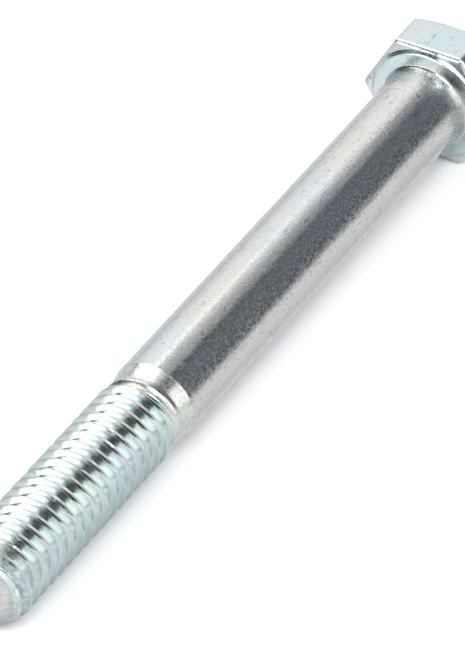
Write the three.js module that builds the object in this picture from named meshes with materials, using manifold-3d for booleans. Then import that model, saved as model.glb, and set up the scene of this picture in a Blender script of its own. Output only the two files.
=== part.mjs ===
// Hex bolt, partly threaded: hexagon head with a washer face, plain shank, coarse right-hand thread.
// Millimetres. The bolt lies along +X: head top at x = 0, point at +X, one hexagon flat facing +Z.
import * as THREE from "three";
import { mergeVertices } from "three/addons/utils/BufferGeometryUtils.js";
import Module from "manifold-3d";

// Head
const acrossFlats = 14.02;
const headHeight = 5.95;
const washerFaceDiameter = 12.94;
const washerFaceThickness = 0.5;
// The washer face's wall is tapered: its radius is this much greater at the foot.
const washerFaceDraft = 0.32;
const topFlatDiameter = 13.1;
const topChamferAngle = 30;

// Shank and point
const lengthUnderHead = 88.9;
const shankDiameter = 9.48;
const filletRadius = 0.45;
const plainShankLength = 56.3;
const shoulderConeLength = 1.75;
const blankDiameter = 8.62;
const pointDiameter = 7.8;
const pointChamferLength = 1.3;

// Thread, 3/8-16 UNC right-hand
const pitch = 25.4 / 16;
const threadDiameter = 9.36;
const rootDiameter = 7.72;
const rootEdgeRise = 0.08;
const crestWidth = 0.26;
const flankHalfAngle = 30;
const runoutLength = 1.9;
// One crest passes x = crestX at crestAngle, counted from +Y towards +Z.
const crestX = 78.7;
const crestAngle = 57.2;

const segments = 32;
const bearingX = headHeight;
const endX = bearingX + lengthUnderHead;
const shoulderX = bearingX + plainShankLength;
const coneEndX = shoulderX + shoulderConeLength;
const radians = Math.PI / 180;

const wasm = await Module();
wasm.setup();

// Turns a closed three.js geometry into a solid that can be joined and cut.
function solid(geometry) {
  geometry.deleteAttribute("normal");
  geometry.deleteAttribute("uv");
  const merged = mergeVertices(geometry, 1e-5);
  return new wasm.Manifold(new wasm.Mesh({
    numProp: 3,
    vertProperties: new Float32Array(merged.attributes.position.array),
    triVerts: new Uint32Array(merged.index.array),
  }));
}

// Turns a profile of [x, radius] points, axis to axis, into a solid of revolution about X.
function turned(profile) {
  const points = profile.map(([x, radius]) => new THREE.Vector2(radius, x));
  const lathe = new THREE.LatheGeometry(points, segments, Math.PI / 2);
  lathe.rotateZ(-Math.PI / 2);
  return solid(lathe);
}

// Hexagonal prism of the head, with one pair of flats facing up and down.
function hexPrism(startX, stopX) {
  const circumradius = acrossFlats / 2 / Math.cos(30 * radians);
  const prism = new THREE.CylinderGeometry(circumradius, circumradius, stopX - startX, 6);
  prism.rotateY(30 * radians);
  prism.rotateZ(-Math.PI / 2);
  prism.translate((startX + stopX) / 2, 0, 0);
  return solid(prism);
}

// Rod with a continuous helical thread. Each column of points follows the helix,
// so the crest and root edges stay sharp all the way round.
function threadedRod(startX, turns) {
  const crestRadius = threadDiameter / 2;
  const rootRadius = rootDiameter / 2;
  const flankDepth = crestRadius - rootRadius - rootEdgeRise;
  const flankWidth = flankDepth * Math.tan(flankHalfAngle * radians);
  const profile = [
    [-crestWidth / 2, crestRadius],
    [crestWidth / 2, crestRadius],
    [crestWidth / 2 + flankWidth, rootRadius + rootEdgeRise],
    [pitch / 2, rootRadius],
    [pitch - crestWidth / 2 - flankWidth, rootRadius + rootEdgeRise],
  ];
  const perTurn = profile.length;
  const rows = turns * perTurn;
  const positions = [];
  const indices = [];
  const vertexAt = [];
  for (let column = 0; column < segments; column += 1) {
    const share = column / segments;
    const angle = share * 2 * Math.PI + crestAngle * radians;
    const lastRow = column === 0 ? rows + perTurn : rows;
    vertexAt.push([]);
    for (let row = 0; row <= lastRow; row += 1) {
      const [offset, radius] = profile[row % perTurn];
      const turn = Math.floor(row / perTurn);
      vertexAt[column].push(positions.length / 3);
      positions.push(
        startX + (turn + share) * pitch + offset,
        radius * Math.cos(angle),
        radius * Math.sin(angle),
      );
    }
  }
  const vertex = (row, column) => (
    column === segments ? vertexAt[0][row + perTurn] : vertexAt[column][row]
  );
  for (let column = 0; column < segments; column += 1) {
    for (let row = 0; row < rows; row += 1) {
      const a = vertex(row, column);
      const b = vertex(row + 1, column);
      const c = vertex(row + 1, column + 1);
      const d = vertex(row, column + 1);
      indices.push(a, d, b, b, d, c);
    }
  }
  // Each end is closed by a ramp to a point on the axis and one radial step.
  for (const [row, axisX, outward] of [[0, startX, -1], [rows, startX + turns * pitch, 1]]) {
    const centre = positions.length / 3;
    positions.push(axisX, 0, 0);
    const rim = [];
    for (let column = 0; column <= segments; column += 1) rim.push(vertex(row, column));
    for (let step = perTurn - 1; step >= 0; step -= 1) rim.push(vertexAt[0][row + step]);
    for (let i = 0; i + 1 < rim.length; i += 1) {
      if (outward < 0) indices.push(centre, rim[i + 1], rim[i]);
      else indices.push(centre, rim[i], rim[i + 1]);
    }
  }
  const rod = new THREE.BufferGeometry();
  rod.setAttribute("position", new THREE.Float32BufferAttribute(positions, 3));
  rod.setIndex(indices);
  return solid(rod);
}

// Head: hexagon with the conical chamfer round its top.
const chamferReach = 4;
const head = hexPrism(0, headHeight - washerFaceThickness).intersect(turned([
  [0, 0],
  [0, topFlatDiameter / 2],
  [chamferReach * Math.tan(topChamferAngle * radians), topFlatDiameter / 2 + chamferReach],
  [headHeight, topFlatDiameter / 2 + chamferReach],
  [headHeight, 0],
]));

// Washer face, under-head fillet, plain shank, shoulder cone and the core of the thread.
const shankRadius = shankDiameter / 2;
const blankRadius = blankDiameter / 2;
const coreRadius = rootDiameter / 2 - 0.2;
const fillet = [0, 1, 2, 3, 4].map((step) => {
  const angle = step / 4 * 90 * radians;
  return [
    bearingX + filletRadius * (1 - Math.cos(angle)),
    shankRadius + filletRadius * (1 - Math.sin(angle)),
  ];
});
const shaft = turned([
  [headHeight / 2, 0],
  [headHeight / 2, washerFaceDiameter / 2 + 1.2 * washerFaceDraft],
  [bearingX - 1.2 * washerFaceThickness, washerFaceDiameter / 2 + 1.2 * washerFaceDraft],
  [bearingX, washerFaceDiameter / 2],
  ...fillet,
  [shoulderX, shankRadius],
  [coneEndX, blankRadius],
  [coneEndX + runoutLength, coreRadius],
  [endX - 0.5, coreRadius],
  [endX - 0.5, 0],
]);

// Thread, trimmed by the chamfered point and by the runout at the shoulder.
const trimRadius = threadDiameter / 2 + 0.5;
const trimRise = trimRadius - blankRadius;
const chamferSlope = (threadDiameter - pointDiameter) / 2 / pointChamferLength;
const crestRise = (threadDiameter / 2 - blankRadius) / runoutLength;
const startTurns = Math.ceil((crestX - coneEndX) / pitch) + 1;
const rodStart = crestX - startTurns * pitch;
const turns = Math.ceil((endX - rodStart) / pitch) + 1;
const trim = turned([
  [coneEndX - 0.05, 0],
  [coneEndX - 0.05, blankRadius],
  [coneEndX - 0.05 + trimRise / crestRise, trimRadius],
  [endX - (trimRadius - pointDiameter / 2) / chamferSlope, trimRadius],
  [endX, pointDiameter / 2],
  [endX, 0],
]);
const thread = threadedRod(rodStart, turns).intersect(trim);

const whole = head.add(shaft).add(thread).getMesh();
const positions = new Float32Array(whole.numVert * 3);
for (let i = 0; i < whole.numVert; i += 1) {
  for (let axis = 0; axis < 3; axis += 1) {
    positions[i * 3 + axis] = whole.vertProperties[i * whole.numProp + axis];
  }
}
const geometry = new THREE.BufferGeometry();
geometry.setAttribute("position", new THREE.BufferAttribute(positions, 3));
geometry.setIndex(Array.from(whole.triVerts));

const zincPlatedSteel = new THREE.MeshStandardMaterial({
  color: 0xb9bfc2,
  metalness: 0.9,
  roughness: 0.35,
});
const bolt = new THREE.Mesh(geometry.toNonIndexed(), zincPlatedSteel);
bolt.geometry.computeVertexNormals();
bolt.name = "hex_bolt";

const group = new THREE.Group();
group.name = "hex_bolt_part";
group.add(bolt);

export default group;
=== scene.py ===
"""Hex bolt: a fine mesh of the whole forging with its zinc finish, on white paper in a photo studio.

Lengths in the shape sections are millimetres and are turned into metres when the mesh is made.
The bolt lies along +X with the head's top at x = 0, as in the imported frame.
"""

import math

import bpy
import numpy as np
from mathutils import Matrix, Vector


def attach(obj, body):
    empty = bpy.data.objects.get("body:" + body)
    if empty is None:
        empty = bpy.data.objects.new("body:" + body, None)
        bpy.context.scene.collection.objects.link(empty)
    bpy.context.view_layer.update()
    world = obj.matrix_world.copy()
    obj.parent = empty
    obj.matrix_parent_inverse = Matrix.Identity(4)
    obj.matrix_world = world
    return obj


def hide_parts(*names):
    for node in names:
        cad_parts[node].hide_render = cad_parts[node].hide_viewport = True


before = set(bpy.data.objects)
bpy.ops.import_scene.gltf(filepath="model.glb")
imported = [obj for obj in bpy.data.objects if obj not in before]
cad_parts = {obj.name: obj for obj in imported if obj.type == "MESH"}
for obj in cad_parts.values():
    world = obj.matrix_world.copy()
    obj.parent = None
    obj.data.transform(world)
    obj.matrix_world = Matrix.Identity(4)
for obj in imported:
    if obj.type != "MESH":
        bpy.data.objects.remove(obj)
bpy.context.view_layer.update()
MM = 0.001

# ---------------------------------------------------------------- sizes of the bolt

ACROSS_FLATS = 14.02
HEAD_HEIGHT = 5.95
WASHER_RADIUS = 6.47
WASHER_THICKNESS = 0.5
WASHER_DRAFT = 0.32
EDGE_ROUND = 0.52
TOP_RADIUS = 6.55
TOP_CHAMFER = math.radians(30)
SHANK_RADIUS = 4.74
FILLET = 0.8
FILLET_SWEEP = 48
FLARE = 3.0
FLARE_SWEEP = 18
DIE_RING = 4.0
SHOULDER_X = HEAD_HEIGHT + 56.3
CONE_LENGTH = 1.75
BLANK_RADIUS = 4.36
PITCH = 25.4 / 16
CREST_RADIUS = 4.69
ROOT_RADIUS = 3.64
ROOT_ROUND = 0.10
CREST_ROUND = 0.06
CREST_SEAM = 0.035
FLANK = math.radians(60)
RUNOUT = 2.8
END_X = HEAD_HEIGHT + 88.9
POINT_RADIUS = 3.9
POINT_CHAMFER = 1.3
CREST_X = 78.7
CREST_ANGLE = math.radians(57.2)

COLUMNS = 144
CORNER_ROUND = 0.10
EDGE_VARIATION = 0.15
DIE_MARK_DEPTH = 0.012
DIE_MARK_WIDTH = 0.1
DIE_STEP = 0.010
DIE_STEP_LENGTH = 0.15
SHANK_WAVINESS = 0.004
RUNOUT_LEAD = 0.25
CREST_BAND = 0.16
CREST_BAND_FADE = 0.10
CREST_WEAR = 0.012
CREST_FINE_WEAR = 0.011
END_BREAK = 0.03


# ---------------------------------------------------------------- shape helpers

def smooth(t):
    """Smooth step from 0 to 1 as t goes from 0 to 1."""
    t = np.clip(t, 0.0, 1.0)
    return t * t * (3.0 - 2.0 * t)


def arc(centre, radius, start, stop, steps):
    """Points (x, r) on a circle in the profile plane. Angles in degrees, 0 along +x, 90 along +r."""
    angles = np.radians(np.linspace(start, stop, steps + 1))
    return [(centre[0] + radius * math.cos(a), centre[1] + radius * math.sin(a)) for a in angles]


def waves(seed, count, low, high):
    """A seeded sum of sines over (x, angle), used for slight unevenness. Returns a function."""
    rng = np.random.default_rng(seed)
    along = rng.uniform(low, high, count) * rng.choice([-1, 1], count)
    around = rng.integers(0, 9, count)
    phase = rng.uniform(0, 2 * math.pi, count)
    size = rng.uniform(0.5, 1.0, count)
    size /= size.sum()

    def value(x, angle):
        total = 0.0
        for k in range(count):
            total = total + size[k] * np.sin(along[k] * x + around[k] * angle + phase[k])
        return total

    return value


# ---------------------------------------------------------------- head and shank

def hex_radius(angle):
    """Distance from the axis to the hexagon's side, with slightly rounded corners."""
    apothem = ACROSS_FLATS / 2
    off = np.abs((angle % math.radians(60)) - math.radians(30))
    flat = apothem / np.cos(off)
    corner = apothem / math.cos(math.radians(30))
    inner = corner - CORNER_ROUND
    blend = 0.10
    # A smooth minimum of the flat and a circle just inside the corner.
    return flat - 0.5 * (flat - inner + np.sqrt((flat - inner) ** 2 + blend ** 2)) + 0.5 * (
        blend * blend / (4 * (np.abs(inner - flat) + blend))
    )


def column_angles():
    """Angles of the columns, closer together near the hexagon's corners."""
    base = np.arange(COLUMNS) / COLUMNS * 2 * math.pi
    crowding = 0.6
    return base - crowding / 6 * np.sin(6 * base)


EDGE_UNEVEN = waves(21, 8, 0.0, 1.0)


def fillet_length():
    """How far the fillet and its flare reach along the shank from the washer face."""
    tight = FILLET * (math.sin(math.radians(FILLET_SWEEP)) - math.sin(math.radians(FLARE_SWEEP)))
    return tight + FLARE * math.sin(math.radians(FLARE_SWEEP))


def head_rows(angles):
    """Rows of (x, r) for the head: top flat, chamfer, sides, underside, washer face and fillet."""
    side = hex_radius(angles)
    one = np.ones_like(angles)
    under = HEAD_HEIGHT - WASHER_THICKNESS
    rise = math.tan(TOP_CHAMFER)
    chamfer_end = (side - TOP_RADIUS) * rise
    rows = []

    def add(x, r):
        rows.append((x * one, r * one))

    for share in (0.25, 0.5, 0.75, 0.93):
        add(0.0, TOP_RADIUS * share)
    # The top's rim turns softly into the chamfer.
    top_rim = ((0.0, -0.18), (0.006, -0.09), (0.03, -0.01), (0.075, 0.085), (0.13, 0.20))
    for dx, dr in top_rim:
        add(dx, TOP_RADIUS + dr)
    start_x, start_r = top_rim[-1][0], TOP_RADIUS + top_rim[-1][1]
    for share in (0.35, 0.7, 0.88):
        rows.append((start_x + (chamfer_end - start_x) * share, start_r + (side - start_r) * share))
    # The edge between the chamfer and the flats is broken a little.
    chamfer_edge = ((0.035, 0.04), (-0.02, 0.008), (-0.10, 0.0))
    for back, out in chamfer_edge:
        rows.append((chamfer_end - back, side - out))
    side_start = chamfer_end - chamfer_edge[-1][0]
    clearance = 0.03
    side_stop = under - EDGE_ROUND * (1 + EDGE_VARIATION) - clearance
    for share in (0.2, 0.4, 0.6, 0.8, 1.0):
        rows.append((side_start + (side_stop - side_start) * share, side))
    # The head's lower edge is rounded. Where the washer face comes close to it, the round stops early.
    base = WASHER_RADIUS + WASHER_DRAFT
    size = EDGE_ROUND * (1 + EDGE_VARIATION * EDGE_UNEVEN(0.0, angles))
    turns = np.radians(np.arange(0, 91, 10))
    row_gap = 0.008
    for k, turn in enumerate(turns):
        back, out = size * (1 - math.sin(turn)), size * (1 - math.cos(turn))
        rows.append(((under - back) * one, np.maximum(side - out, base + row_gap * (len(turns) - k))))
    for share in (0.4, 0.8):
        rows.append((under * one, np.maximum(side - EDGE_ROUND + (base - side + EDGE_ROUND) * share, base)))
    # The washer face stands on a tapered wall.
    for share, foot in ((0.0, 0.02), (0.04, 0.0), (0.35, 0.0), (0.65, 0.0), (0.86, 0.0)):
        add(under + WASHER_THICKNESS * share, base + foot - WASHER_DRAFT * share)
    washer_rim = ((0.05, -0.005), (0.02, -0.035), (0.004, -0.08), (0.0, -0.15))
    for back, out in washer_rim:
        add(HEAD_HEIGHT - back, WASHER_RADIUS + out)
    face_r = WASHER_RADIUS + washer_rim[-1][1]
    # The fillet turns tightly at the washer face and eases into the shank along a longer flare.
    flare = arc((HEAD_HEIGHT + fillet_length(), SHANK_RADIUS + FLARE), FLARE, 270 - FLARE_SWEEP, 270, 6)
    turn = math.radians(FLARE_SWEEP)
    centre = (flare[0][0] + FILLET * math.sin(turn), flare[0][1] + FILLET * math.cos(turn))
    fillet = arc(centre, FILLET, 270 - FILLET_SWEEP, 270 - FLARE_SWEEP, 6)
    for share in (0.25, 0.5, 0.75, 0.93, 1.0):
        add(HEAD_HEIGHT, face_r + (fillet[0][1] - face_r) * share)
    for x, r in fillet[1:] + flare[1:]:
        add(x, r)
    return rows


def shank_rows(angles):
    """Rows of (x, r) for the plain shank, with the faint ring of the die and slight waviness."""
    wobble = waves(11, 9, 0.2, 1.4)
    rows = []
    start = HEAD_HEIGHT + fillet_length()
    stop = SHOULDER_X - 0.2
    ring = HEAD_HEIGHT + DIE_RING
    places = np.concatenate([
        np.linspace(start + 0.15, ring - 0.35, 6),
        np.linspace(ring - 0.2, ring + 0.2, 5),
        np.linspace(ring + 0.4, stop, 46),
    ])
    for x in places:
        mark = DIE_MARK_DEPTH * math.exp(-((x - ring) / DIE_MARK_WIDTH) ** 2)
        step = DIE_STEP * (1 - smooth((x - ring) / DIE_STEP_LENGTH))
        uneven = SHANK_WAVINESS * wobble(x, angles)
        rows.append((x * np.ones_like(angles), SHANK_RADIUS - mark - step + uneven))
    return rows


def cone_rows(angles):
    """Rows of (x, r) over the rounded shoulder edge and down the cone to the thread's blank."""
    one = np.ones_like(angles)
    slope = (SHANK_RADIUS - BLANK_RADIUS) / CONE_LENGTH
    rows = []
    lead, reach, ease = 0.1, 0.27, 0.9
    for dx in (-lead, -0.04, 0.0, 0.05, 0.1, reach - lead):
        drop = slope * max(0.0, dx + lead) * min(1.0, (dx + lead) / reach) * ease
        rows.append(((SHOULDER_X + dx) * one, (SHANK_RADIUS - drop) * one))
    for share in (0.25, 0.4, 0.55, 0.7, 0.85, 0.95):
        x = SHOULDER_X + CONE_LENGTH * share
        rows.append((x * one, (SHANK_RADIUS - slope * CONE_LENGTH * share) * one))
    return rows


# ---------------------------------------------------------------- thread

def thread_profile():
    """One pitch of the rolled thread as (offset, radius), from one crest's middle to the next.

    Rolling leaves a crest of two lips with a shallow seam between them.
    """
    sin_f, cos_f = math.sin(FLANK), math.cos(FLANK)
    rounds = CREST_ROUND + ROOT_ROUND
    flank_depth = CREST_RADIUS - ROOT_RADIUS - rounds * (1 - cos_f)
    lip = PITCH / 2 - rounds * sin_f - flank_depth / math.tan(FLANK)
    half = [(0.0, CREST_RADIUS - CREST_SEAM), (lip * 0.35, CREST_RADIUS - CREST_SEAM * 0.75)]
    for step in range(5):
        a = FLANK * (step - 1) / 3
        half.append((lip + CREST_ROUND * math.sin(a), CREST_RADIUS - CREST_ROUND * (1 - math.cos(a))))
    x0, r0 = half[-1]
    for share in (0.25, 0.5, 0.75):
        half.append((x0 + share * flank_depth / math.tan(FLANK), r0 - share * flank_depth))
    for step in range(4):
        a = FLANK * (1 - step / 3)
        half.append((PITCH / 2 - ROOT_ROUND * math.sin(a), ROOT_RADIUS + ROOT_ROUND * (1 - math.cos(a))))
    mirrored = [(PITCH - x, r) for x, r in reversed(half[1:-1])]
    return half + mirrored


def crest_nicks(seed, count):
    """Seeded small dents in the crests. Returns a function of (x, angle)."""
    rng = np.random.default_rng(seed)
    x = rng.uniform(SHOULDER_X + 3, END_X, count)
    angle = rng.uniform(0, 2 * math.pi, count)
    size = rng.uniform(0.15, 0.45, count)
    depth = rng.uniform(0.03, 0.10, count)

    def value(at_x, at_angle):
        turn = (at_angle - angle + math.pi) % (2 * math.pi) - math.pi
        reach = ((at_x - x) / size) ** 2 + (turn * CREST_RADIUS / size) ** 2
        return float((depth * np.exp(-reach)).sum())

    return value


UNEVEN = waves(5, 14, 1.0, 9.0)
FINE_UNEVEN = waves(6, 20, 6.0, 30.0)
NICKS = crest_nicks(7, 190)


def thread_radius(x, radius, angle):
    """The thread's radius after the runout at the shoulder and the chamfer at the point."""
    cone_end = SHOULDER_X + CONE_LENGTH
    grow = smooth((x - cone_end + RUNOUT_LEAD) / RUNOUT)
    radius = BLANK_RADIUS + (radius - BLANK_RADIUS) * grow
    crest = smooth((radius - CREST_RADIUS + CREST_BAND) / CREST_BAND_FADE)
    if crest > 0:
        wear = CREST_WEAR * (1 + UNEVEN(x, angle)) + CREST_FINE_WEAR * FINE_UNEVEN(x, angle)
        radius -= crest * (wear + NICKS(x, angle))
    chamfer = POINT_RADIUS + (END_X - x) * (CREST_RADIUS - POINT_RADIUS) / POINT_CHAMFER
    soft = 0.05
    gap = radius - chamfer
    return radius - 0.5 * (gap + np.sqrt(gap * gap + soft * soft)) + 0.5 * soft * 0.1


def bolt_mesh():
    """The whole bolt as one closed mesh, from the centre of the head's top to the centre of the point."""
    angles = column_angles()
    points = []
    faces = []

    def ring(x, r):
        first = len(points)
        points.extend(zip(x, r * np.cos(angles), r * np.sin(angles)))
        return [first + j for j in range(COLUMNS)]

    def bridge(a, b):
        for j in range(COLUMNS):
            k = (j + 1) % COLUMNS
            faces.append((a[j], a[k], b[k], b[j]))

    def fan(centre, rim, outward):
        for j in range(COLUMNS):
            k = (j + 1) % COLUMNS
            faces.append((centre, rim[k], rim[j]) if outward < 0 else (centre, rim[j], rim[k]))

    points.append((0.0, 0.0, 0.0))
    previous = None
    for x, r in head_rows(angles) + shank_rows(angles) + cone_rows(angles):
        current = ring(x, r)
        if previous is None:
            fan(0, current, -1)
        else:
            bridge(previous, current)
        previous = current

    # Thread: each column follows the helix, and rows that run off either end are held at the end ring.
    start_x = SHOULDER_X + CONE_LENGTH
    end_rim_x = END_X - END_BREAK
    one = np.ones(COLUMNS)
    start_ring = ring(start_x * one, thread_radius(start_x, BLANK_RADIUS, 0.0) * one)
    bridge(previous, start_ring)
    profile = thread_profile()
    per_turn = len(profile)
    first_crest = CREST_X + PITCH * ((angles - CREST_ANGLE) / (2 * math.pi))
    first_turn = math.floor((start_x - CREST_X) / PITCH) - 2
    last_turn = math.ceil((END_X - CREST_X) / PITCH) + 2
    end_ring = ring(end_rim_x * one, thread_radius(end_rim_x, POINT_RADIUS + END_BREAK, 0.0) * one)
    rows = (last_turn - first_turn) * per_turn
    index = np.zeros((rows, COLUMNS), int)
    margin = 0.01
    for j in range(COLUMNS):
        for row in range(rows):
            offset, radius = profile[row % per_turn]
            x = first_crest[j] + (first_turn + row // per_turn) * PITCH + offset
            if x <= start_x + margin:
                index[row, j] = start_ring[j]
            elif x >= end_rim_x - margin:
                index[row, j] = end_ring[j]
            else:
                r = float(thread_radius(x, radius, angles[j]))
                index[row, j] = len(points)
                points.append((x, r * math.cos(angles[j]), r * math.sin(angles[j])))
    for j in range(COLUMNS):
        for row in range(rows - 1):
            if j + 1 < COLUMNS:
                corners = (index[row, j], index[row, j + 1], index[row + 1, j + 1], index[row + 1, j])
            else:
                if row + 1 + per_turn >= rows:
                    continue
                corners = (
                    index[row, j], index[row + per_turn, 0],
                    index[row + 1 + per_turn, 0], index[row + 1, j],
                )
            kept = []
            for corner in corners:
                if corner not in kept:
                    kept.append(int(corner))
            if len(kept) >= 3:
                faces.append(tuple(kept))

    previous = end_ring
    for r in (POINT_RADIUS - 0.05, POINT_RADIUS - 0.25, POINT_RADIUS * 0.6):
        current = ring(END_X * one, r * one)
        bridge(previous, current)
        previous = current
    points.append((END_X, 0.0, 0.0))
    fan(len(points) - 1, previous, 1)
    return points, faces


def make_bolt():
    points, faces = bolt_mesh()
    mesh = bpy.data.meshes.new("bolt_forging")
    mesh.from_pydata([tuple(float(c) * MM for c in p) for p in points], [], faces)
    mesh.validate()
    mesh.update()
    mesh.polygons.foreach_set("use_smooth", [True] * len(mesh.polygons))
    bolt = bpy.data.objects.new("bolt_forging", mesh)
    bpy.context.scene.collection.objects.link(bolt)
    return bolt


# ---------------------------------------------------------------- materials

def new_material(name):
    material = bpy.data.materials.new(name)
    material.use_nodes = True
    return material, material.node_tree.nodes, material.node_tree.links


def ramp(nodes, links, factor, *stops):
    """A colour ramp over a factor. Each stop is (position, colour)."""
    node = nodes.new("ShaderNodeValToRGB")
    elements = node.color_ramp.elements
    while len(elements) < len(stops):
        elements.new(0.5)
    for element, (position, colour) in zip(elements, stops):
        element.position = position
        element.color = (*colour, 1)
    links.new(factor, node.inputs["Fac"])
    return node.outputs["Color"]


def mask(nodes, links, factor, start, stop, low=0.0, high=1.0):
    """A value that goes smoothly from low to high as the factor goes from start to stop."""
    node = nodes.new("ShaderNodeMapRange")
    node.interpolation_type = "SMOOTHSTEP"
    for socket, value in (("From Min", start), ("From Max", stop), ("To Min", low), ("To Max", high)):
        node.inputs[socket].default_value = value
    links.new(factor, node.inputs["Value"])
    return node.outputs["Result"]


def combine(nodes, links, operation, first, second):
    """A maths node of two values, each a socket or a number."""
    node = nodes.new("ShaderNodeMath")
    node.operation = operation
    for k, value in enumerate((first, second)):
        if isinstance(value, (int, float)):
            node.inputs[k].default_value = value
        else:
            links.new(value, node.inputs[k])
    return node.outputs["Value"]


def blend_colours(nodes, links, factor, first, second):
    """Two colours mixed by a factor. The second is a socket or a colour."""
    node = nodes.new("ShaderNodeMix")
    node.data_type = "RGBA"
    links.new(factor, node.inputs["Factor"])
    links.new(first, node.inputs["A"])
    if isinstance(second, tuple):
        node.inputs["B"].default_value = (*second, 1)
    else:
        links.new(second, node.inputs["B"])
    return node.outputs["Result"]


def noise(nodes, links, vector, scale, detail=3.0, stretch=(1, 1, 1)):
    """Noise at a scale in features per metre, optionally stretched along the axes."""
    if stretch != (1, 1, 1):
        mapping = nodes.new("ShaderNodeMapping")
        mapping.inputs["Scale"].default_value = stretch
        links.new(vector, mapping.inputs["Vector"])
        vector = mapping.outputs["Vector"]
    texture = nodes.new("ShaderNodeTexNoise")
    texture.inputs["Scale"].default_value = scale
    texture.inputs["Detail"].default_value = detail
    links.new(vector, texture.inputs["Vector"])
    return texture.outputs["Fac"]


def patches(nodes, links, coords, grain, limits, most):
    """Patches of a noise, which reach the value `most` inside. grain is (scale, detail, stretch)."""
    return mask(nodes, links, noise(nodes, links, coords, *grain), *limits, 0, most)


def along_axis(nodes, links, coords):
    """The distance along the bolt and the distance from its axis, in metres."""
    split = nodes.new("ShaderNodeSeparateXYZ")
    links.new(coords, split.inputs["Vector"])
    flat = nodes.new("ShaderNodeVectorMath")
    flat.operation = "MULTIPLY"
    flat.inputs[1].default_value = (0, 1, 1)
    links.new(coords, flat.inputs[0])
    length = nodes.new("ShaderNodeVectorMath")
    length.operation = "LENGTH"
    links.new(flat.outputs["Vector"], length.inputs[0])
    return split.outputs["X"], length.outputs["Value"]


def bump(nodes, links, height, depth, under=None):
    """Bump of a depth in millimetres, on top of another bump's normal if there is one."""
    node = nodes.new("ShaderNodeBump")
    node.inputs["Strength"].default_value = 1.0
    node.inputs["Distance"].default_value = depth * MM
    links.new(height, node.inputs["Height"])
    if under is not None:
        links.new(under, node.inputs["Normal"])
    return node.outputs["Normal"]


COOL = (0.475, 0.530, 0.545)
NEUTRAL = (0.520, 0.538, 0.528)
WARM = (0.54, 0.542, 0.518)
LILAC = (0.522, 0.518, 0.538)
CYAN = (0.66, 0.755, 0.775)
SILVER = (0.56, 0.63, 0.635)
AQUA = (0.475, 0.575, 0.60)
CREAM = (0.575, 0.585, 0.54)
PEARL = (0.52, 0.545, 0.56)
STRAW = (0.505, 0.575, 0.565)
GOLD = (0.66, 0.69, 0.585)
NAVY = (0.40, 0.45, 0.53)
SOIL = (0.26, 0.23, 0.215)

# The thread is cyan below the first radius and straw above the second, and dulls near the point. The cyan is
# the passivate's tint and partly a painted reflection: it is lighter than the straw, with bounds where the
# flanks start to reflect each other.
CYAN_FILM_AND_REFLECTION_RADIUS = 4.35
STRAW_FILM_AND_REFLECTION_RADIUS = 4.75
DULL_START_X = END_X - 4.5
DULL_FULL_X = END_X - 1.0


def toned(colours, share):
    """Colours made darker or lighter by one share."""
    return tuple(tuple(c * share for c in colour) for colour in colours)


def zinc(name, roughness, grain, waves_depth, tints=(LILAC, NEUTRAL, WARM, COOL), pits=0.5, mottling=0.3):
    """Bright zinc plate with a clear passivate: clouds of tints, streaks, stains, pits, scars, scratches.

    roughness is its least and greatest value, grain is (features per metre, depth in mm) of the fine
    mottle, and waves_depth is the depth in mm of the slow unevenness under it. tints are the clouds'
    colours, pits is the strength of pits, stains, scars and scratches, and mottling of the dull specks.
    """
    material, nodes, links = new_material(name)
    shader = nodes["Principled BSDF"]
    shader.inputs["Metallic"].default_value = 1.0
    coords = nodes.new("ShaderNodeTexCoord").outputs["Object"]

    cloud = noise(nodes, links, coords, 90.0, 3.0, (0.6, 1, 1))
    cloud_stops = (0.34, 0.46, 0.56, 0.68)
    colour = ramp(nodes, links, cloud, *zip(cloud_stops, tints))
    streaks = patches(nodes, links, coords, (900.0, 4.0, (0.16, 1, 1)), (0.55, 0.72), 0.35)
    colour = blend_colours(nodes, links, streaks, colour, COOL)
    stain = patches(nodes, links, coords, (700.0, 4.0, (0.6, 1, 1)), (0.5, 0.66), 0.6 * pits)
    colour = blend_colours(nodes, links, stain, colour, NAVY)
    pit = patches(nodes, links, coords, (1500.0, 2.0, (0.6, 1, 1)), (0.645, 0.725), pits)
    colour = blend_colours(nodes, links, pit, colour, SOIL)
    scar = patches(nodes, links, coords, (800.0, 3.0, (0.35, 1, 1)), (0.67, 0.74), pits)
    colour = blend_colours(nodes, links, scar, colour, SOIL)
    mottle = noise(nodes, links, coords, 3300.0, 3.0, (0.8, 1, 1))
    colour = blend_colours(nodes, links, mask(nodes, links, mottle, 0.5, 0.68, 0, mottling), colour, SOIL)
    links.new(colour, shader.inputs["Base Color"])

    fine = noise(nodes, links, coords, grain[0], 2.0)
    speckle = combine(nodes, links, "ADD", fine, mottle)
    links.new(mask(nodes, links, speckle, 0.72, 1.28, *roughness), shader.inputs["Roughness"])

    slow = noise(nodes, links, coords, 420.0, 2.0, (0.5, 1, 1))
    normal = bump(nodes, links, slow, waves_depth)
    scratch = patches(nodes, links, coords, (2400.0, 1.0, (0.15, 1, 1)), (0.70, 0.75), pits)
    raised = combine(nodes, links, "ADD", combine(nodes, links, "SUBTRACT", fine, pit), scratch)
    normal = bump(nodes, links, combine(nodes, links, "SUBTRACT", raised, scar), grain[1], normal)
    links.new(normal, shader.inputs["Normal"])
    return material


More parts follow.
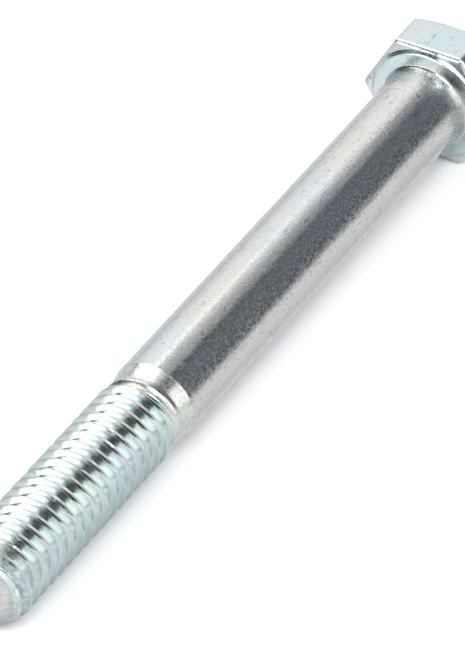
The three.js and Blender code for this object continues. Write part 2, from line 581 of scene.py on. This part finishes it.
def thread_zinc():
    """The zinc in the thread: smoother, cyan down the flanks and straw near the crests, dull at the point.
    The lighter cyan deep in the flanks is partly a painted reflection.
    """
    material = zinc("zinc_thread", (0.13, 0.21), (2600.0, 0.006), 0.010, pits=0.3)
    nodes, links = material.node_tree.nodes, material.node_tree.links
    shader = nodes["Principled BSDF"]
    coords = nodes.new("ShaderNodeTexCoord").outputs["Object"]
    x, radius = along_axis(nodes, links, coords)
    wander = noise(nodes, links, coords, 500.0, 2.0)
    near_crest = combine(nodes, links, "ADD", radius, combine(nodes, links, "MULTIPLY", wander, 0.5 * MM))
    height = mask(nodes, links, near_crest, CYAN_FILM_AND_REFLECTION_RADIUS * MM, STRAW_FILM_AND_REFLECTION_RADIUS * MM)
    # Partly a painted reflection: the cyan deep in the flanks is lighter than the straw at the crests.
    film_and_reflection = ramp(nodes, links, height, (0.0, CYAN), (1.0, STRAW))
    gilding = patches(nodes, links, coords, (260.0, 1.0), (0.48, 0.64), 0.3)
    film_and_reflection = blend_colours(nodes, links, gilding, film_and_reflection, GOLD)
    cloud = shader.inputs["Base Color"].links[0].from_socket
    colour = blend_colours(nodes, links, mask(nodes, links, wander, 0.2, 0.8, 1.0, 0.75), cloud, film_and_reflection)
    speck = noise(nodes, links, coords, 1600.0, 4.0)
    dull = combine(nodes, links, "MULTIPLY",
                   mask(nodes, links, x, DULL_START_X * MM, DULL_FULL_X * MM),
                   mask(nodes, links, speck, 0.35, 0.62))
    colour = blend_colours(nodes, links, combine(nodes, links, "MULTIPLY", dull, 0.4), colour, SOIL)
    links.new(colour, shader.inputs["Base Color"])
    smooth_part = shader.inputs["Roughness"].links[0].from_socket
    links.new(combine(nodes, links, "ADD", smooth_part, combine(nodes, links, "MULTIPLY", dull, 0.22)),
              shader.inputs["Roughness"])
    return material


def floor_material():
    """White seamless paper with a very faint grain."""
    material, nodes, links = new_material("white_paper")
    shader = nodes["Principled BSDF"]
    shader.inputs["Roughness"].default_value = 0.9
    shader.inputs["Specular IOR Level"].default_value = 0.1
    grain = nodes.new("ShaderNodeTexNoise")
    grain.inputs["Scale"].default_value = 300.0
    colour = ramp(nodes, links, grain.outputs["Fac"], (0.0, (0.92, 0.92, 0.93)), (1.0, (0.95, 0.95, 0.96)))
    links.new(colour, shader.inputs["Base Color"])
    return material


def card_material(name, low, high, tint=(1.0, 1.1, 1.3)):
    """Matt card with a faint tooth, between two tones of a tint."""
    material, nodes, links = new_material(name)
    shader = nodes["Principled BSDF"]
    shader.inputs["Roughness"].default_value = 0.95
    coords = nodes.new("ShaderNodeTexCoord").outputs["Object"]
    tooth = noise(nodes, links, coords, 40.0)
    dark, light = toned((tint,), low)[0], toned((tint,), high)[0]
    colour = ramp(nodes, links, tooth, (0.3, dark), (0.7, light))
    links.new(colour, shader.inputs["Base Color"])
    return material


# ---------------------------------------------------------------- floor, light and camera

FLOOR_HALF = 0.6
SHEET_LIFT = 0.0003
# The head touches the floor this far in front of its underside, and the last crests this far from the end.
HEAD_TOUCH = 0.12
CREST_TOUCH = 1.6


def rectangle(name, along, across, lift, material):
    """A rectangle between two places along its x and two along its y, in metres."""
    mesh = bpy.data.meshes.new(name)
    corners = [(along[0], across[0], lift), (along[1], across[0], lift),
               (along[1], across[1], lift), (along[0], across[1], lift)]
    mesh.from_pydata(corners, [], [(0, 1, 2, 3)])
    thing = bpy.data.objects.new(name, mesh)
    bpy.context.scene.collection.objects.link(thing)
    thing.data.materials.append(material)
    return thing


def show_in_reflections_only(thing):
    thing.visible_camera = False
    thing.visible_diffuse = False
    thing.visible_shadow = False


def floor_frame():
    """A point on the floor and its upward normal. The bolt lies on the head's lower flat and on the
    last crests of the thread, so the floor rises slightly towards the point."""
    head_x, head_z = HEAD_HEIGHT - WASHER_THICKNESS - HEAD_TOUCH, -ACROSS_FLATS / 2
    tip_x, tip_z = END_X - CREST_TOUCH, -CREST_RADIUS
    tilt = math.atan2(tip_z - head_z, tip_x - head_x)
    return Vector((head_x * MM, 0, head_z * MM)), Vector((-math.sin(tilt), 0, math.cos(tilt)))


def make_floor():
    origin, up = floor_frame()
    span = (-FLOOR_HALF, FLOOR_HALF)
    floor = rectangle("floor", span, span, 0, floor_material())
    floor.matrix_world = Matrix.Translation(origin) @ up.to_track_quat("Z", "Y").to_matrix().to_4x4()


def floor_sheet(name, along, across, material):
    """A sheet on the floor, between two places along and across the bolt in metres, which only the metal's
    reflections show.
    It is a painted reflection of a darker floor."""
    origin, up = floor_frame()
    sheet = rectangle(name, along, across, SHEET_LIFT, material)
    tilt = Vector((0, 0, 1)).rotation_difference(up).to_matrix().to_4x4()
    sheet.matrix_world = Matrix.Translation(origin) @ tilt
    show_in_reflections_only(sheet)


CENTRE = Vector((END_X / 2 * MM, 0, 0))


def direction(azimuth, elevation):
    """Unit vector, azimuth in degrees from +X towards +Y."""
    a, e = math.radians(azimuth), math.radians(elevation)
    return Vector((math.cos(e) * math.cos(a), math.cos(e) * math.sin(a), math.sin(e)))


def aim(thing, place):
    """Puts a thing at a place, looking at the bolt's centre."""
    thing.location = place
    thing.rotation_euler = (CENTRE - place).to_track_quat("-Z", "Y").to_euler()


def softbox(name, azimuth, elevation, width, height, radiance, colour=(1, 1, 1), mirrored=True, distance=1.2):
    """A rectangular light of an even radiance, as wide and high as these angles in degrees.

    One that isn't mirrored lights the floor without showing in the metal, as no real lamp does.
    """
    light = bpy.data.lights.new(name, "AREA")
    light.shape = "RECTANGLE"
    light.size = 2 * distance * math.tan(math.radians(width / 2))
    light.size_y = 2 * distance * math.tan(math.radians(height / 2))
    light.energy = radiance * math.pi * light.size * light.size_y
    light.color = colour
    thing = bpy.data.objects.new(name, light)
    bpy.context.scene.collection.objects.link(thing)
    aim(thing, CENTRE + direction(azimuth, elevation) * distance)
    thing.visible_camera = False
    thing.visible_glossy = mirrored


def flag(name, azimuth, elevation, width, height, material, distance=1.1):
    """A matt card that the metal reflects, as wide and high as these angles in degrees."""
    across = distance * math.tan(math.radians(width / 2))
    up = distance * math.tan(math.radians(height / 2))
    card = rectangle(name, (-across, across), (-up, up), 0, material)
    aim(card, CENTRE + direction(azimuth, elevation) * distance)
    show_in_reflections_only(card)


BACKDROP_STRENGTH = 1.1
ROOM_STRENGTH = 0.32
ROOM_TINT = (0.93, 0.98, 1.03)


def make_world():
    """A white backdrop for the camera, and a dim room between the lights for everything else."""
    world = bpy.data.worlds.new("studio")
    bpy.context.scene.world = world
    world.use_nodes = True
    nodes, links = world.node_tree.nodes, world.node_tree.links
    dim = nodes["Background"]
    dim.inputs["Strength"].default_value = ROOM_STRENGTH
    dim.inputs["Color"].default_value = (*ROOM_TINT, 1)
    white = nodes.new("ShaderNodeBackground")
    white.inputs["Strength"].default_value = BACKDROP_STRENGTH
    white.inputs["Color"].default_value = (1, 1, 1, 1)
    path = nodes.new("ShaderNodeLightPath")
    mix = nodes.new("ShaderNodeMixShader")
    links.new(path.outputs["Is Camera Ray"], mix.inputs["Fac"])
    links.new(dim.outputs["Background"], mix.inputs[1])
    links.new(white.outputs["Background"], mix.inputs[2])
    links.new(mix.outputs["Shader"], nodes["World Output"].inputs["Surface"])


# The camera stands where a least-squares fit of the bolt's outline to the photo put it.
LENS = 299.6
SENSOR = 36.0
VIEW_TARGET = Vector((0.04763, 0.00053, 0.0))
VIEW_AZIMUTH = 31.83
VIEW_ELEVATION = 39.42
VIEW_DISTANCE = 0.5505
VIEW_ROLL = math.radians(-1.93)


def make_camera():
    camera = bpy.data.cameras.new("camera")
    camera.lens = LENS
    camera.sensor_width = SENSOR
    camera.clip_start = 0.01
    thing = bpy.data.objects.new("camera", camera)
    bpy.context.scene.collection.objects.link(thing)
    back = direction(VIEW_AZIMUTH, VIEW_ELEVATION)
    rotation = (-back).to_track_quat("-Z", "Y").to_matrix() @ Matrix.Rotation(VIEW_ROLL, 3, "Z")
    thing.matrix_world = Matrix.Translation(VIEW_TARGET + back * VIEW_DISTANCE) @ rotation.to_4x4()
    bpy.context.scene.camera = thing


def make_studio():
    """The floor, lights, sheets and cards.

    Their first layout was grouped from a least-squares fit of patches of light to the photo,
    which also gave the first strengths. Both were then changed until the render's brightness matched the
    photo's.
    """
    make_floor()
    make_world()
    # Azimuth, elevation, width and height in degrees, then radiance.
    softbox("key_behind_camera", 46, 61, 33, 30, 6.2)
    softbox("right_panel", 90, 21, 30, 50, 1.55)
    softbox("right_edge_panel", 111, 21, 14, 50, 1.6)
    softbox("front_right_panel", 60, 23, 28, 46, 1.0)
    softbox("front_softbox", -7, 21, 15, 42, 0.8)
    softbox("front_left_softbox", -28, 26, 36, 52, 2.45, (1.0, 0.99, 0.955))
    softbox("front_left_low_softbox", -54, 13, 16, 26, 0.62, (0.92, 0.97, 1.0))
    softbox("left_softbox", -108, 47, 26, 28, 2.6)
    softbox("rear_left_softbox", -145, 33, 42, 32, 1.27, (1.0, 0.995, 0.96))
    softbox("rear_left_low_softbox", -135, 9, 48, 16, 0.95)
    softbox("overhead_left_softbox", -130, 61, 34, 30, 2.2)
    softbox("overhead_rear_softbox", 174, 54, 26, 20, 0.5)
    softbox("zenith_softbox", -175, 77, 24, 18, 1.1)
    softbox("right_fill", 98, 34, 36, 40, 0.75, mirrored=False)

    white = (1.0, 1.0, 1.0)
    full = (-0.40, 0.40)
    # Painted reflections: only the metal sees these sheets, as a darker floor to the left and far to the
    # right.
    floor_sheet("left_painted_reflection_sheet", full, (-0.40, -0.013), card_material("pale_grey_painted_reflection", 0.60, 0.64, white))
    floor_sheet("far_right_painted_reflection_sheet", full, (0.07, 0.40),
                card_material("grey_painted_reflection", 0.22, 0.26, (1.0, 1.0, 1.05)))
    # Painted shadow: these two sheets lie close beside the bolt and are its shadow on the floor as the metal
    # reflects it.
    floor_sheet("shank_painted_shadow_sheet", (-0.40, 0.060), (0.006, 0.07),
                card_material("light_grey_painted_reflection", 0.74, 0.80, white))
    floor_sheet("thread_painted_shadow_sheet", (0.062, 0.16), (0.001, 0.02),
                card_material("blue_grey_painted_reflection", 0.66, 0.72, (0.95, 1.0, 1.03)))

    # Azimuth, elevation, width and height in degrees.
    flag("rear_right_flag", 150, 23, 60, 46, card_material("grey_card", 0.13, 0.17))
    flag("overhead_right_flag", 130, 60, 36, 28, card_material("dark_card", 0.02, 0.03))
    black = card_material("black_card", 0.02, 0.03)
    flag("camera_flag", 21, 20, 32, 42, black)
    flag("left_flag", -77, 18, 30, 36, black)
    flag("top_front_flag", -38, 63, 42, 26, black)


# ---------------------------------------------------------------- zones of the finish

TOP_DEPTH = 0.4
SHOULDER_REACH = 1.5
POINT_DEPTH = 0.02
WORN_END = 0.45
CREST_DEPTH = 0.05


def zone_materials():
    """The zinc of each zone: roughness, grain, depth of the waves, tints, pits and mottling."""
    bright = (AQUA, SILVER, AQUA, PEARL)
    side = toned((AQUA, PEARL, AQUA, LILAC), 0.84)
    under = (CREAM, SILVER, CREAM, PEARL)
    neck = toned((LILAC, WARM, WARM, PEARL), 0.89)
    shank = toned((LILAC, WARM, WARM, PEARL), 0.88)
    shoulder = toned((CREAM, SILVER, CREAM, SILVER), 0.92)
    point = toned((CREAM, PEARL, CREAM, PEARL), 0.83)
    crest = toned((CREAM, WARM, SILVER, CREAM), 0.96)
    return {
        "head": zinc("zinc_head", (0.18, 0.28), (2600.0, 0.005), 0.012, bright, 0.35, 0.08),
        "flats": zinc("zinc_flats", (0.20, 0.30), (2400.0, 0.009), 0.012, side, 0.6, 0.12),
        "underside": zinc("zinc_underside", (0.24, 0.34), (3000.0, 0.014), 0.012, under, 0.7, 0.15),
        "neck": zinc("zinc_neck", (0.16, 0.33), (3000.0, 0.016), 0.012, neck, 0.5, 0.18),
        "shank": zinc("zinc_shank", (0.14, 0.34), (3000.0, 0.015), 0.012, shank, 0.55, 0.26),
        "thread": thread_zinc(),
        "shoulder": zinc("zinc_shoulder", (0.24, 0.34), (3000.0, 0.016), 0.016, shoulder, 0.5, 0.35),
        "point": zinc("zinc_point", (0.34, 0.48), (2200.0, 0.030), 0.030, point, 0.8, 0.5),
        "crest": zinc("zinc_crest", (0.30, 0.45), (4200.0, 0.034), 0.0, crest, 0.55, 0.4),
    }


def zone_at(x, radius):
    """The name of the zone at a place along the bolt and a distance from its axis."""
    underside_x = HEAD_HEIGHT - WASHER_THICKNESS
    tolerance = 0.005
    if TOP_DEPTH < x < underside_x - EDGE_ROUND:
        return "flats"
    if TOP_DEPTH < x < underside_x + tolerance:
        return "underside"
    if x < HEAD_HEIGHT + 2 * tolerance:
        return "head"
    if x < HEAD_HEIGHT + DIE_RING:
        return "neck"
    if x < SHOULDER_X:
        return "shank"
    if x < SHOULDER_X + CONE_LENGTH + SHOULDER_REACH:
        return "shoulder"
    if x > END_X - POINT_DEPTH:
        return "point"
    if x > END_X - WORN_END or radius > CREST_RADIUS - CREST_DEPTH:
        return "crest"
    return "thread"


def finish_bolt(bolt):
    """Gives every face of the bolt its zone's zinc."""
    zones = zone_materials()
    for material in zones.values():
        bolt.data.materials.append(material)
    names = list(zones)
    for face in bolt.data.polygons:
        radius = math.hypot(face.center.y, face.center.z) / MM
        face.material_index = names.index(zone_at(face.center.x / MM, radius))


# ---------------------------------------------------------------- scene

bolt = make_bolt()
finish_bolt(bolt)
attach(bolt, "root")
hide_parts("hex_bolt")

make_studio()
make_camera()
bpy.context.scene.view_settings.view_transform = "Standard"
